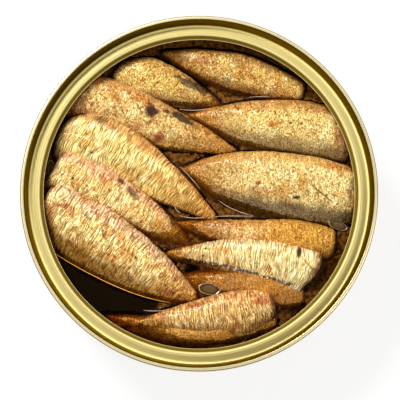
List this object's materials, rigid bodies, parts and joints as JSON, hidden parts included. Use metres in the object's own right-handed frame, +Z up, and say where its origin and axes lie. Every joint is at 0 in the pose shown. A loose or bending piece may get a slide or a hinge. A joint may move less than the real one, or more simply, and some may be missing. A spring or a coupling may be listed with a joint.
{
  "type": "opened round tin of smoked sprats in oil",
  "caption": "Opened round gold-lacquered tin with smoked headless sprats laid in two overlapping rows in oil.",
  "frame": {"origin": "centre of the tin's foot, on the surface that it stands on", "axes": "+Z up along the tin's axis; the sprats' backs face +Y, the two rows lie towards -X and +X"},
  "size_m": [0.1023, 0.1022, 0.0328],
  "materials": {
    "tinplate": "gold lacquered tinplate",
    "gold_lacquer": "gold lacquered tinplate, satin",
    "oil": "clear amber oil",
    "smoked_skin": "oily golden smoked fish skin"
  },
  "bodies": {
    "root": {"can_body": "tinplate", "lid_ring": "gold_lacquer", "oil": "oil", "sprat_left_1": "smoked_skin", "sprat_left_2": "smoked_skin", "sprat_left_3": "smoked_skin", "sprat_left_4": "smoked_skin", "sprat_left_5": "smoked_skin", "sprat_right_1": "smoked_skin", "sprat_right_2": "smoked_skin", "sprat_right_3": "smoked_skin", "sprat_right_4": "smoked_skin", "sprat_right_5": "smoked_skin", "sprat_right_6": "smoked_skin", "sprat_under_south": "smoked_skin", "sprat_under_middle": "smoked_skin", "sprat_under_east": "smoked_skin"}
  },
  "joints": []
}
